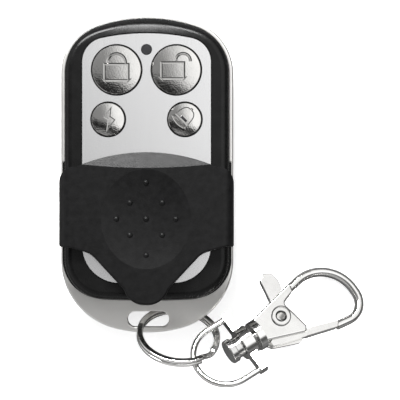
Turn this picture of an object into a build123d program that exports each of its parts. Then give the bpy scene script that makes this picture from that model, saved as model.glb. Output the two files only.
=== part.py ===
# Key-ring remote with four buttons, a sliding cover, a split ring and a swivel lobster clasp.
# The fob lies on its back. X runs across it, Y runs along it towards the buttons, Z points
# out of its face. The origin is the middle of the flat back. All sizes are in millimetres.

from build123d import *
import os
from math import cos, pi, radians, sin, sqrt

os.makedirs("parts", exist_ok=True)


# Driving dimensions of the fob outline
fob_half_width = 16.2
fob_half_length = 30.0
head_arc_radius = 29.0
head_corner_radius = 10.0
chin_arc_radius = 24.0
chin_corner_radius = 13.5

# Heights above the back face
back_floor_top = 1.2
back_plate_top = 1.9
back_rim_top = 3.0
frame_top = 7.6
shell_top = 10.2
cover_underside = 11.3
cover_top = 12.9

# Metal frame
rim_width = 0.84
frame_edge_radius = 0.4
frame_inner_chamfer = 0.12
nose_start = 11.0 - fob_half_length
nose_drop = 2.1
nose_under_start = 9.2 - fob_half_length
nose_under_knee = 5.6 - fob_half_length
nose_under_knee_height = 3.85
nose_tip_underside = 4.35
nose_bend_radius = 1.6
slot_length = 7.85
slot_width = 3.0
slot_centre_x = 0.17
slot_centre_y = 2.6 - fob_half_length
slot_edge_radius = 0.25

# Front shell
seat_gap = 0.05
shell_wall = 1.1
shell_roof = 1.0
shell_edge_radius = 1.5
shell_bottom = 6.3 - fob_half_length
shell_bottom_arc = 150.0
shell_bottom_corner = 7.5
flange_width = 0.48
flange_height = 0.7
flange_end = 2.4
flange_chamfer = 0.35
groove_depth = 0.56
groove_floor = 7.7
groove_height = 0.9

# Face plate
plate_thickness = 0.4
plate_edge_chamfer = 0.1
plate_half_width = fob_half_width - 4.15
plate_top = fob_half_length - 3.8
plate_top_arc = 40.0
plate_top_corner = 4.6
plate_bottom = shell_bottom + 3.2
plate_bottom_arc = 120.0
plate_bottom_corner = 7.0
plate_gap = 0.15

# Buttons, as (x, y) of each centre
large_row = plate_top - 6.9
small_row = plate_top - 16.1
large_spread = plate_half_width - 6.5
small_spread = plate_half_width - 4.92
large_button_places = {"lock": (-large_spread, large_row), "unlock": (large_spread, large_row)}
small_button_places = {"bolt": (-small_spread, small_row), "bell": (small_spread, small_row)}
large_well_radius = 4.72
small_well_radius = 3.25
button_gap = 0.14
button_dome_height = 0.7
button_edge_height = 0.32
button_flange_width = 0.6
button_flange_thickness = 0.6
button_stem_height = 0.35
button_travel = 0.3

# Indicator
led_place = (0, plate_top - 3.1)
led_length = 2.0
led_width = 1.25
led_base_height = 0.5
led_dome_height = 0.4
lens_radius = 0.88
lens_collar = 0.4
lens_gap = 0.06

# Circuit board and what stands on it
board_underside = 4.2
board_thickness = 1.0
board_margin = 0.3
switch_side = 6.0
switch_height = 2.4
switch_plunger_radius = 1.6
plunger_gap = 0.06
switch_well_depth = 1.1

# Battery, a slim 12 V cell
cell_radius = 3.85
cell_length = 27.4
cell_bottom = shell_bottom + 3.8
cell_floor_gap = 0.1
cell_edge_chamfer = 0.25
cell_bay_gap = 0.4
terminal_radius = 1.7
terminal_height = 0.8
contact_spring_wire = 0.4
contact_spring_turns = 3
contact_thickness = 0.4

# Case screws, as (x, y) of each
screw_top_x = fob_half_width - 4.9
screw_top_y = fob_half_length - 6.7
screw_low_x = fob_half_width - 5.2
screw_low_y = shell_bottom + 7.1
screw_places = [(side * screw_top_x, screw_top_y) for side in (-1, 1)]
screw_places += [(side * screw_low_x, screw_low_y) for side in (-1, 1)]
screw_head_radius = 1.4
screw_head_height = 0.9
screw_head_chamfer = 0.25
screw_cross_length = 2.0
screw_cross_width = 0.45
screw_shank_radius = 0.8
screw_length = 6.0
screw_recess = 0.35
screw_pocket_gap = 0.15
boss_radius = 1.65
boss_gap = 0.1

# Sliding cover, shown open
cover_half_width = fob_half_width + 0.05
cover_arm_wall = 0.7
cover_arm_bottom = 7.8
cover_crown_radius = 240.0
cover_shoulder_y = shell_bottom + 25.0
cover_shoulder_x = cover_half_width - 3.45
cover_shoulder_radius = 3.2
cover_top_y = cover_shoulder_y + 2.64
cover_arm_low_y = cover_shoulder_y - 14.9
cover_tongue_y = shell_bottom - 0.6
cover_side_radius = 2.2
cover_edge_radius = 0.4
cover_bevel_start = cover_shoulder_y - 0.27
cover_bevel_slope = 0.45
dish_centre_y = cover_shoulder_y - 9.7
dish_radius = 9.2
dish_depth = 0.75
bump_radius = 0.62
bump_height = 0.3
bump_reach_x = 5.5
bump_reach_y = 6.7
bump_diagonal = 3.0
hook_lip_height = 0.6
hook_lip_gap = 0.13
cover_travel = fob_half_length - 7.7

# Split ring
ring_centre = Vector(slot_centre_x + 5.73, slot_centre_y - 2.95, frame_top + 0.35)
ring_heading = -7.65
ring_tilt = -54.0
ring_radius = 7.3
ring_wire_width = 1.1
ring_wire_thickness = 0.68
ring_turn_gap = 0.13
ring_cross_angle = 24.0
ring_cross_place = -38.0
ring_wire_round = 0.25

# Swivel clasp, placed by its rivet
rivet_place = ring_centre + Vector(19.09, 3.07, -1.65)
clasp_heading = 29.6
clasp_pitch = 18.0
hook_roll = -15.0
eye_roll = -25.6
swivel_drop = 0.45

# Swivel eye
eye_half_width = 5.95
eye_wire_radius = 0.55
eye_side_length = 4.35
eye_bar_thickness = 1.6
eye_bar_inset = 0.15
eye_bar_width = 2.4
barrel_radius = 3.0
barrel_length = 2.3
barrel_far_face = -9.4
pin_radius = 1.0
pin_bore_gap = 0.05
pin_head_radius = 2.33
pin_head_length = 1.3
pin_hub_radius = 2.0
pin_hub_length = 1.35
pin_play = 0.08

# Hook
collar_radius = 2.9
collar_gap = 0.75
collar_bore_depth = 1.3
collar_length = 1.45
turned_edge_radius = 0.15
hook_thickness = 2.6
channel_width = 1.4
channel_start = -3.9
channel_end = 3.8
arm_slot_end = 6.4
arm_slot_top = 3.75
arm_width = 1.6
arm_thickness = 2.1
arm_round = 0.75
arm_reach = 15.65
arm_bend_radius = 7.05
arm_end_bend_radius = 3.9
back_plate_reach = 5.85
tip_clearance_radius = 11.1

# Gate
gate_thickness = 1.2
gate_bore_gap = 0.05
gate_end_gap = 0.12
gate_wide_thickness = 2.2
gate_wide_from_radius = 6.0
rivet_shank_radius = 1.25
rivet_bore_radius = 0.8
rivet_head_radius = 1.82
rivet_head_height = 0.4
rivet_flare = 0.3
rivet_floor = 0.9
spring_pocket_radius = 1.95
spring_pocket_depth = 0.5
spring_wire_radius = 0.1
spring_radius = 1.6
spring_turns = 1.75


def save(builder, label):
    """Label a finished piece and write it to its own file."""
    builder.part.label = label
    export_step(builder.part, f"parts/{label}.step")


def rounded_outline(half_width, top, top_arc, top_corner, bottom, bottom_arc, bottom_corner):
    """A closed outline with straight sides, an arc at each end and four rounded corners."""
    top_side = top - top_arc + sqrt(top_arc**2 - half_width**2)
    bottom_side = bottom + bottom_arc - sqrt(bottom_arc**2 - half_width**2)
    with BuildSketch() as outline:
        with BuildLine():
            Line((-half_width, bottom_side), (-half_width, top_side))
            ThreePointArc((-half_width, top_side), (0, top), (half_width, top_side))
            Line((half_width, top_side), (half_width, bottom_side))
            ThreePointArc((half_width, bottom_side), (0, bottom), (-half_width, bottom_side))
        make_face()
        fillet(outline.vertices().group_by(Axis.Y)[-1], radius=top_corner)
        fillet(outline.vertices().group_by(Axis.Y)[0], radius=bottom_corner)
    return outline.sketch


def fob_outline(inset):
    """The outline of the whole fob, drawn in from its edge by inset."""
    return rounded_outline(
        fob_half_width - inset,
        fob_half_length - inset,
        head_arc_radius - inset,
        head_corner_radius - inset,
        inset - fob_half_length,
        chin_arc_radius - inset,
        chin_corner_radius - inset,
    )


def shell_outline(inset, side_growth=0.0):
    """The outline of the black shell, which ends above the chin, drawn in by inset."""
    edge = rim_width + inset
    return rounded_outline(
        fob_half_width - edge + side_growth,
        fob_half_length - edge,
        head_arc_radius - edge,
        head_corner_radius - edge,
        shell_bottom + inset,
        shell_bottom_arc - inset,
        shell_bottom_corner - inset,
    )


def plate_outline(inset):
    """The outline of the face plate, drawn in by inset."""
    return rounded_outline(
        plate_half_width - inset,
        plate_top - inset,
        plate_top_arc - inset,
        plate_top_corner - inset,
        plate_bottom + inset,
        plate_bottom_arc - inset,
        plate_bottom_corner - inset,
    )


well_radii = {name: large_well_radius for name in large_button_places}
well_radii.update({name: small_well_radius for name in small_button_places})
button_places = {**large_button_places, **small_button_places}
nose_length = fob_half_length + nose_start
nose_radius = (nose_length**2 + nose_drop**2) / (2 * nose_drop)
shell_half_width = fob_half_width - rim_width
board_top = board_underside + board_thickness
plate_floor = shell_top - plate_thickness
roof_underside = shell_top - shell_roof


# Underside of the chin, a slope that the frame and the rear cover share
with BuildPart() as nose_clearance:
    with BuildSketch(Plane.YZ):
        with BuildLine():
            Polyline(
                (nose_under_start, 0),
                (nose_under_knee, nose_under_knee_height),
                (-fob_half_length, nose_tip_underside),
                (-fob_half_length - rim_width, nose_tip_underside),
                (-fob_half_length - rim_width, -rim_width),
                (nose_under_start, -rim_width),
                close=True,
            )
        make_face()
    extrude(amount=fob_half_width, both=True)


# Metal frame: a die-cast rim that grows into the chin with the key-ring slot
with BuildPart() as metal_frame:
    with BuildSketch(Plane.XY.offset(back_plate_top)):
        add(fob_outline(0))
    extrude(amount=frame_top - back_plate_top)
    with BuildSketch(Plane.YZ):
        with BuildLine():
            nose_end_height = frame_top - nose_drop
            middle_y = nose_start - nose_length / 2
            middle_height = frame_top - nose_radius + sqrt(nose_radius**2 - (nose_length / 2) ** 2)
            ThreePointArc(
                (nose_start, frame_top),
                (middle_y, middle_height),
                (-fob_half_length, nose_end_height),
            )
            Line((-fob_half_length, nose_end_height), (-fob_half_length, frame_top))
            Line((-fob_half_length, frame_top), (nose_start, frame_top))
        make_face()
    extrude(amount=fob_half_width, both=True, mode=Mode.SUBTRACT)
    add(nose_clearance.part, mode=Mode.SUBTRACT)
    under_bends = metal_frame.edges().filter_by(Axis.X).filter_by_position(
        Axis.Z, back_plate_top, nose_tip_underside - frame_edge_radius
    )
    fillet(under_bends, radius=nose_bend_radius)
    outer_faces = metal_frame.faces().filter_by(
        lambda face: abs(face.normal_at().Z) > 0.5
    )
    fillet(
        outer_faces.edges().filter_by(Axis.X, reverse=True),
        radius=frame_edge_radius,
    )
    with BuildSketch(Plane.XY.offset(back_plate_top)):
        add(shell_outline(-seat_gap))
    extrude(amount=frame_top, mode=Mode.SUBTRACT)
    opening = metal_frame.edges(Select.LAST).filter_by(Axis.Z, reverse=True)
    chin_lines = opening.filter_by(lambda edge: edge.center().Z > nose_tip_underside)
    chamfer(chin_lines, length=frame_inner_chamfer)
    with BuildSketch(Plane.XY.offset(frame_top - flange_height - seat_gap)):
        add(shell_outline(-seat_gap, side_growth=flange_width))
        with Locations((0, flange_end + seat_gap)):
            Rectangle(
                2 * fob_half_width,
                2 * fob_half_length,
                align=(Align.CENTER, Align.MIN),
                mode=Mode.SUBTRACT,
            )
    extrude(amount=frame_top, mode=Mode.SUBTRACT)
    with BuildSketch(Plane.XY):
        with Locations((slot_centre_x, slot_centre_y)):
            SlotOverall(slot_length, slot_width)
    extrude(amount=frame_top, mode=Mode.SUBTRACT)
    slot_edges = metal_frame.edges(Select.LAST).filter_by(Axis.Z, reverse=True)
    fillet(slot_edges, radius=slot_edge_radius)
save(metal_frame, "metal_frame")


# Front shell: black moulding with the plate's recess, button wells, cover grooves and bosses
with BuildPart() as front_shell:
    with BuildSketch(Plane.XY.offset(back_rim_top + boss_gap)):
        add(shell_outline(0))
    extrude(amount=shell_top - back_rim_top - boss_gap)
    fillet(front_shell.faces().sort_by(Axis.Z)[-1].edges(), radius=shell_edge_radius)
    with BuildSketch(Plane.XY.offset(frame_top - flange_height)) as flange:
        add(shell_outline(0, side_growth=flange_width))
        with Locations((0, flange_end)):
            Rectangle(
                2 * fob_half_width,
                2 * fob_half_length,
                align=(Align.CENTER, Align.MIN),
                mode=Mode.SUBTRACT,
            )
        chamfer(flange.vertices().group_by(Axis.Y)[-1], length=flange_chamfer)
    extrude(amount=flange_height)
    with BuildSketch(Plane.XY.offset(back_rim_top)):
        add(shell_outline(shell_wall))
    extrude(amount=roof_underside - back_rim_top, mode=Mode.SUBTRACT)
    with BuildSketch(Plane.XY.offset(plate_floor)):
        add(plate_outline(-plate_gap))
    extrude(amount=plate_thickness, mode=Mode.SUBTRACT)
    with BuildSketch(Plane.XY.offset(roof_underside)):
        for name, place in button_places.items():
            with Locations(place):
                Circle(well_radii[name] + plate_gap)
        with Locations(led_place):
            Circle(lens_radius + lens_gap)
    extrude(amount=shell_roof, mode=Mode.SUBTRACT)
    groove_end = cover_shoulder_y + cover_travel
    groove_start = cover_arm_low_y - hook_lip_gap
    with BuildSketch(Plane.XY.offset(groove_floor)):
        for side in (-1, 1):
            with Locations((side * shell_half_width, (groove_start + groove_end) / 2)):
                Rectangle(2 * groove_depth, groove_end - groove_start)
    extrude(amount=groove_height, mode=Mode.SUBTRACT)
    boss_bottom = back_floor_top + screw_head_height + screw_recess + boss_gap
    boss_spans = [
        (boss_bottom, back_rim_top + boss_gap, shell_wall + seat_gap),
        (back_rim_top + boss_gap, roof_underside, shell_wall / 2),
    ]
    for low, high, inset in boss_spans:
        with BuildSketch(Plane.XY.offset(low)):
            with Locations(screw_places):
                Circle(boss_radius)
            add(shell_outline(inset), mode=Mode.INTERSECT)
        extrude(amount=high - low)
    with BuildSketch(Plane.XY.offset(boss_bottom)):
        with Locations(screw_places):
            Circle(screw_shank_radius)
    extrude(amount=screw_length, mode=Mode.SUBTRACT)
save(front_shell, "front_shell")


# Rear cover: flat back, rim inside the frame, screw pockets and board posts
board_posts = [(0, fob_half_length - 4.4)]
board_posts += [(side * (fob_half_width - 3.6), shell_bottom + 25.2) for side in (-1, 1)]
board_posts += [(side * (fob_half_width - 9.7), shell_bottom + 3.3) for side in (-1, 1)]
board_post_radius = 0.9
back_margin = 0.6
back_edge_radius = 1.0
pocket_wall = 0.4
with BuildPart() as rear_cover:
    with BuildSketch(Plane.XY):
        add(shell_outline(back_margin - rim_width))
    extrude(amount=back_plate_top)
    fillet(rear_cover.faces().sort_by(Axis.Z)[0].edges(), radius=back_edge_radius)
    with BuildSketch(Plane.XY.offset(back_plate_top)):
        add(shell_outline(0))
    extrude(amount=back_rim_top - back_plate_top)
    with BuildSketch(Plane.XY.offset(back_floor_top)):
        add(shell_outline(shell_wall))
        with Locations((0, nose_under_start - pocket_wall)):
            Rectangle(
                2 * fob_half_width,
                fob_half_length,
                align=(Align.CENTER, Align.MAX),
                mode=Mode.SUBTRACT,
            )
    extrude(amount=back_rim_top, mode=Mode.SUBTRACT)
    with BuildSketch(Plane.XY.offset(back_floor_top)):
        with Locations(screw_places):
            Circle(screw_head_radius + screw_pocket_gap + shell_wall / 2)
        add(shell_outline(shell_wall / 2), mode=Mode.INTERSECT)
    extrude(amount=screw_head_height + screw_recess)
    with BuildSketch(Plane.XY):
        with Locations(screw_places):
            Circle(screw_head_radius + screw_pocket_gap)
    extrude(amount=screw_head_height + screw_recess, mode=Mode.SUBTRACT)
    with BuildSketch(Plane.XY):
        with Locations(screw_places):
            Circle(screw_shank_radius + screw_pocket_gap)
    extrude(amount=back_rim_top, mode=Mode.SUBTRACT)
    with BuildSketch(Plane.XY.offset(back_floor_top)):
        with Locations(board_posts):
            Circle(board_post_radius)
    extrude(amount=board_underside - back_floor_top)
    add(nose_clearance.part, mode=Mode.SUBTRACT)
save(rear_cover, "rear_cover")


# Face plate: brushed metal sheet with the button and indicator holes
with BuildPart() as face_plate:
    with BuildSketch(Plane.XY.offset(plate_floor)):
        add(plate_outline(0))
        for name, place in button_places.items():
            with Locations(place):
                Circle(well_radii[name], mode=Mode.SUBTRACT)
        with Locations(led_place):
            Circle(lens_radius + lens_gap, mode=Mode.SUBTRACT)
    extrude(amount=plate_thickness)
    chamfer(face_plate.faces().sort_by(Axis.Z)[-1].edges(), length=plate_edge_chamfer)
save(face_plate, "face_plate")


# Circuit board, notched round the screw bosses and cut out for the battery
contact_room = 1.2
bay_half_width = cell_radius + cell_bay_gap
bay_top = cell_bottom + cell_length + terminal_height + contact_room
with BuildPart() as circuit_board:
    with BuildSketch(Plane.XY.offset(board_underside)):
        add(shell_outline(shell_wall + board_margin))
        with Locations(screw_places):
            Circle(boss_radius + board_margin, mode=Mode.SUBTRACT)
        with Locations((0, bay_top)):
            Rectangle(
                2 * bay_half_width,
                bay_top - shell_bottom,
                align=(Align.CENTER, Align.MAX),
                mode=Mode.SUBTRACT,
            )
    extrude(amount=board_thickness)
save(circuit_board, "circuit_board")


# Battery: the can and its raised positive terminal
cell_plane = Plane(
    origin=(0, cell_bottom, back_floor_top + cell_floor_gap + cell_radius),
    x_dir=(1, 0, 0),
    z_dir=(0, 1, 0),
)
with BuildPart() as battery_cell:
    with BuildSketch(cell_plane):
        Circle(cell_radius)
    extrude(amount=cell_length)
    chamfer(battery_cell.edges(), length=cell_edge_chamfer)
save(battery_cell, "battery_cell")

with BuildPart() as battery_terminal:
    with BuildSketch(cell_plane.offset(cell_length)):
        Circle(terminal_radius)
    extrude(amount=terminal_height)
    chamfer(battery_terminal.faces().sort_by(Axis.Y)[-1].edges(), length=cell_edge_chamfer)
save(battery_terminal, "battery_terminal")


# Battery contacts: a coil at the flat end, a bent leaf at the terminal
spring_room = cell_bottom - (shell_bottom + shell_wall)
with BuildPart() as battery_spring:
    with BuildLine() as coil:
        Helix(
            pitch=(spring_room - 3 * contact_spring_wire) / contact_spring_turns,
            height=spring_room - 3 * contact_spring_wire,
            radius=terminal_radius,
            center=(0, shell_bottom + shell_wall + 1.5 * contact_spring_wire, cell_plane.origin.Z),
            direction=(0, 1, 0),
        )
    with BuildSketch(Plane(origin=coil.line @ 0, z_dir=coil.line % 0)):
        RegularPolygon(contact_spring_wire / 2, 6)
    sweep(is_frenet=True)
save(battery_spring, "battery_spring")

with BuildPart() as battery_contact:
    with BuildSketch(Plane(origin=(0, bay_top, board_top), x_dir=(0, 1, 0), z_dir=(1, 0, 0))):
        with BuildLine():
            leaf_reach = bay_top - cell_bottom - cell_length - terminal_height
            Polyline(
                (contact_thickness * 4, 0),
                (contact_thickness * 4, contact_thickness),
                (-leaf_reach, contact_thickness),
                (-leaf_reach, -cell_radius),
                (contact_thickness - leaf_reach, -cell_radius),
                (contact_thickness - leaf_reach, 0),
                close=True,
            )
        make_face()
    extrude(amount=terminal_radius, both=True)
save(battery_contact, "battery_contact")


# Tact switches: a square base each, with a plunger that the cap rides on
switch_top = board_top + switch_height
cap_bottom = roof_underside - seat_gap - button_flange_thickness - button_stem_height
for name, place in button_places.items():
    with BuildPart() as switch_base:
        with BuildSketch(Plane.XY.offset(board_top)):
            with Locations(place):
                RectangleRounded(switch_side, switch_side, 0.5)
        extrude(amount=switch_height)
        with BuildSketch(Plane.XY.offset(switch_top - switch_well_depth)):
            with Locations(place):
                Circle(switch_plunger_radius + plunger_gap)
        extrude(amount=switch_well_depth, mode=Mode.SUBTRACT)
    save(switch_base, f"{name}_switch")

    plunger_bottom = switch_top - switch_well_depth + button_travel + plunger_gap
    with BuildPart() as switch_plunger:
        with BuildSketch(Plane.XY.offset(plunger_bottom)):
            with Locations(place):
                Circle(switch_plunger_radius)
        extrude(amount=cap_bottom - plunger_bottom)
    save(switch_plunger, f"{name}_plunger")

    cap_radius = well_radii[name] - button_gap
    flange_radius = cap_radius + button_flange_width
    flange_bottom = cap_bottom + button_stem_height
    edge_top = shell_top + button_edge_height
    with BuildPart() as button_cap:
        with BuildSketch(Plane(origin=(*place, 0), x_dir=(1, 0, 0), z_dir=(0, -1, 0))):
            with BuildLine():
                Polyline(
                    (0, shell_top + button_dome_height),
                    (0, cap_bottom),
                    (switch_plunger_radius, cap_bottom),
                    (switch_plunger_radius, flange_bottom),
                    (flange_radius, flange_bottom),
                    (flange_radius, flange_bottom + button_flange_thickness),
                    (cap_radius, flange_bottom + button_flange_thickness),
                    (cap_radius, edge_top - button_gap),
                    (cap_radius - button_gap, edge_top),
                )
                dome_rise = shell_top + button_dome_height - edge_top
                dome_span = cap_radius - button_gap
                dome_radius = (dome_span**2 + dome_rise**2) / (2 * dome_rise)
                RadiusArc(
                    (cap_radius - button_gap, edge_top),
                    (0, shell_top + button_dome_height),
                    -dome_radius,
                )
            make_face()
        revolve(axis=Axis((*place, 0), (0, 0, 1)))
    save(button_cap, f"{name}_button")


# Indicator: a light pipe in the plate and the diode under it
with BuildPart() as led_lens:
    with BuildSketch(Plane.XY.offset(roof_underside - lens_collar)):
        with Locations(led_place):
            Circle(lens_radius + lens_collar)
    extrude(amount=lens_collar)
    with BuildSketch(Plane.XY.offset(roof_underside)):
        with Locations(led_place):
            Circle(lens_radius)
    extrude(amount=shell_top - roof_underside)
save(led_lens, "led_lens")

with BuildPart() as indicator_led:
    with BuildSketch(Plane.XY.offset(board_top)):
        with Locations(led_place):
            Rectangle(led_length, led_width)
    extrude(amount=led_base_height)
    with BuildSketch(Plane.XY.offset(board_top + led_base_height)):
        with Locations(led_place):
            Rectangle(led_length * 0.7, led_width * 0.96)
    extrude(amount=led_dome_height, taper=12)
save(indicator_led, "indicator_led")


# Radio parts on the board: encoder chip, resonator can, loop coil and small chip parts
chip_place = (6.8 - fob_half_width, shell_bottom + 21.5)
can_place = (fob_half_width - 6.8, shell_bottom + 21.1)
can_radius = 3.7
can_flange = 0.5
chip_row_place = (7.6 - fob_half_width, shell_bottom + 14.1)
chip_pair_place = (fob_half_width - 7.2, shell_bottom + 14.9)
loop_place = (fob_half_width - 7.2, shell_bottom + 10.5)
loop_radius = 1.4
loop_wall = 0.4
loop_half_length = 2.4
with BuildPart() as encoder_chip:
    with BuildSketch(Plane.XY.offset(board_top + 0.15)):
        with Locations(chip_place):
            Rectangle(3.9, 4.9)
    extrude(amount=1.45)
    chamfer(encoder_chip.faces().sort_by(Axis.Z)[-1].edges(), length=0.25)
    with BuildSketch(Plane.XY.offset(board_top)):
        with Locations(chip_place):
            with GridLocations(4.9, 1.27, 2, 4):
                Rectangle(1.1, 0.42)
    extrude(amount=0.25)
save(encoder_chip, "encoder_chip")

with BuildPart() as resonator_can:
    with BuildSketch(Plane.XY.offset(board_top)):
        with Locations(can_place):
            Circle(can_radius + can_flange)
    extrude(amount=0.4)
    with BuildSketch(Plane.XY.offset(board_top + 0.4)):
        with Locations(can_place):
            Circle(can_radius)
    extrude(amount=2.4)
    chamfer(resonator_can.faces().sort_by(Axis.Z)[-1].edges(), length=0.3)
save(resonator_can, "resonator_can")

with BuildPart() as antenna_coil:
    loop_centre = (*loop_place, board_top + loop_radius)
    with BuildSketch(Plane(origin=loop_centre, x_dir=(0, 1, 0), z_dir=(1, 0, 0))):
        Circle(loop_radius)
        Circle(loop_radius - loop_wall, mode=Mode.SUBTRACT)
    extrude(amount=loop_half_length, both=True)
save(antenna_coil, "antenna_coil")

with BuildPart() as chip_parts:
    with BuildSketch(Plane.XY.offset(board_top)):
        with Locations(chip_row_place):
            with GridLocations(2.4, 2.2, 3, 2):
                Rectangle(1.6, 0.8)
        with Locations(chip_pair_place):
            with GridLocations(2.6, 1.0, 2, 1):
                Rectangle(1.6, 0.8)
    extrude(amount=0.55)
save(chip_parts, "chip_parts")


# Case screws: four alike, flush in the back
screw_head_bottom = screw_recess
with BuildPart() as case_screws:
    with BuildSketch(Plane.XY.offset(screw_head_bottom)):
        with Locations(screw_places):
            Circle(screw_head_radius)
    extrude(amount=screw_head_height)
    chamfer(case_screws.faces().group_by(Axis.Z)[0].edges(), length=screw_head_chamfer)
    with BuildSketch(Plane.XY.offset(screw_head_bottom)):
        with Locations(screw_places):
            Rectangle(screw_cross_length, screw_cross_width)
            Rectangle(screw_cross_width, screw_cross_length)
    extrude(amount=screw_cross_width, mode=Mode.SUBTRACT)
    with BuildSketch(Plane.XY.offset(screw_head_bottom + screw_head_height)):
        with Locations(screw_places):
            Circle(screw_shank_radius)
    extrude(amount=screw_length - screw_head_height)
save(case_screws, "case_screws")


# Sliding cover: an arched section cut to its outline, with a bevel, a thumb dish and bumps
skirt_start_x = cover_half_width - 1.55
skirt_knee = (cover_half_width - 5.95, cover_arm_low_y - 1.15)
skirt_waist = (4.1, cover_tongue_y + 2.9)
tongue_corner = (2.9, cover_tongue_y)
dish_sphere_radius = (dish_radius**2 + dish_depth**2) / (2 * dish_depth)
dish_centre_z = cover_top - dish_depth + dish_sphere_radius
bump_places = [(0, y) for y in (-bump_reach_y, 0, bump_reach_y)]
bump_places += [(x, 0) for x in (-bump_reach_x, bump_reach_x)]
diagonals = (-bump_diagonal, bump_diagonal)
bump_places += [(x, y) for x in diagonals for y in diagonals]
with BuildPart() as slide_cover:
    with BuildSketch(Plane.XZ) as section:
        crown_drop = cover_crown_radius - sqrt(cover_crown_radius**2 - cover_half_width**2)
        crown_edge = cover_top - crown_drop
        with BuildLine():
            Line((-cover_half_width, cover_arm_bottom), (-cover_half_width, crown_edge))
            ThreePointArc(
                (-cover_half_width, crown_edge), (0, cover_top), (cover_half_width, crown_edge)
            )
            Line((cover_half_width, crown_edge), (cover_half_width, cover_arm_bottom))
            Line((cover_half_width, cover_arm_bottom), (-cover_half_width, cover_arm_bottom))
        make_face()
        fillet(section.vertices().group_by(Axis.Y)[-1], radius=cover_side_radius)
        cavity_width = 2 * (cover_half_width - cover_arm_wall)
        with Locations((0, cover_arm_bottom)):
            Rectangle(
                cavity_width,
                cover_underside - cover_arm_bottom,
                align=(Align.CENTER, Align.MIN),
                mode=Mode.SUBTRACT,
            )
        lip_inner = shell_half_width - groove_depth + hook_lip_gap
        lip_width = cover_half_width - cover_arm_wall / 2 - lip_inner
        for side in (-1, 1):
            with Locations((side * (lip_inner + lip_width / 2), cover_arm_bottom)):
                Rectangle(lip_width, hook_lip_height, align=(Align.CENTER, Align.MIN))
    extrude(amount=fob_half_length, both=True)
    with BuildSketch(Plane.XY.offset(cover_arm_bottom)) as silhouette:
        with BuildLine():
            ThreePointArc(
                (-cover_shoulder_x, cover_shoulder_y),
                (0, cover_top_y),
                (cover_shoulder_x, cover_shoulder_y),
            )
            Line((cover_shoulder_x, cover_shoulder_y), (cover_half_width, cover_shoulder_y))
            Line((cover_half_width, cover_shoulder_y), (cover_half_width, cover_arm_low_y))
            FilletPolyline(
                (cover_half_width, cover_arm_low_y),
                (skirt_start_x, cover_arm_low_y),
                skirt_knee,
                skirt_waist,
                tongue_corner,
                (-tongue_corner[0], tongue_corner[1]),
                (-skirt_waist[0], skirt_waist[1]),
                (-skirt_knee[0], skirt_knee[1]),
                (-skirt_start_x, cover_arm_low_y),
                (-cover_half_width, cover_arm_low_y),
                radius=[4.0, 4.0, 1.6, 3.9, 3.9, 1.6, 4.0, 4.0],
            )
            Line((-cover_half_width, cover_arm_low_y), (-cover_half_width, cover_shoulder_y))
            Line((-cover_half_width, cover_shoulder_y), (-cover_shoulder_x, cover_shoulder_y))
        make_face()
        for side in (-1, 1):
            corner = (side * cover_half_width, cover_shoulder_y)
            fillet(
                silhouette.vertices().sort_by_distance(corner)[0], radius=cover_shoulder_radius
            )
    extrude(amount=cover_top, mode=Mode.INTERSECT)
    with BuildSketch(Plane.YZ):
        bevel_end = cover_top_y + cover_edge_radius
        with BuildLine():
            Polyline(
                (cover_bevel_start, cover_top),
                (bevel_end, cover_top - (bevel_end - cover_bevel_start) * cover_bevel_slope),
                (bevel_end, cover_top + cover_edge_radius),
                (cover_bevel_start, cover_top + cover_edge_radius),
                close=True,
            )
        make_face()
    extrude(amount=cover_half_width, both=True, mode=Mode.SUBTRACT)
    crown = slide_cover.faces().filter_by(lambda face: face.normal_at().Z > 0.9)
    tongue_line = crown.sort_by(SortBy.AREA)[-1].edges().filter_by(
        lambda edge: edge.center().Y < cover_arm_low_y and abs(edge.center().X) < skirt_knee[0]
    )
    fillet(tongue_line, radius=cover_edge_radius)
    with Locations((0, dish_centre_y, dish_centre_z)):
        Sphere(dish_sphere_radius, mode=Mode.SUBTRACT)
    for x, y in bump_places:
        floor = dish_centre_z - sqrt(dish_sphere_radius**2 - x**2 - y**2)
        with Locations((x, dish_centre_y + y, floor + bump_height - bump_radius)):
            Sphere(bump_radius)
save(slide_cover, "slide_cover")


# Split ring: two flat turns of wire joined by one crossing
ring_x = Vector(1, 0, 0).rotate(Axis.Z, ring_heading)
ring_plane = Plane(
    origin=ring_centre, x_dir=ring_x, z_dir=Vector(0, 0, 1).rotate(Axis((0, 0, 0), ring_x), ring_tilt)
)
turn_step = ring_wire_thickness + ring_turn_gap


def wire_plane(angle, height):
    """The plane across the wire at an angle round the ring and a height along its axis."""
    outward = Vector(cos(radians(angle)), sin(radians(angle)), 0)
    along = Vector(-outward.Y, outward.X, 0)
    place = outward * ring_radius + Vector(0, 0, height)
    middle = ring_plane.from_local_coords(place)
    return Plane(
        origin=middle,
        x_dir=ring_plane.from_local_coords(place + outward) - middle,
        z_dir=ring_plane.from_local_coords(place + along) - middle,
    )


crossing_start = ring_cross_place - ring_cross_angle / 2
crossing_steps = 6
with BuildPart() as split_ring:
    for height in (turn_step / 2, -turn_step / 2):
        with BuildSketch(wire_plane(crossing_start + ring_cross_angle, height)):
            RectangleRounded(ring_wire_width, ring_wire_thickness, ring_wire_round)
        revolve(
            axis=Axis(ring_plane.origin, ring_plane.z_dir),
            revolution_arc=360 - ring_cross_angle,
        )
    for step in range(crossing_steps + 1):
        share = step / crossing_steps
        with BuildSketch(
            wire_plane(crossing_start + share * ring_cross_angle, cos(pi * share) * turn_step / 2)
        ):
            RectangleRounded(ring_wire_width, ring_wire_thickness, ring_wire_round)
    loft()
save(split_ring, "split_ring")


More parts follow.
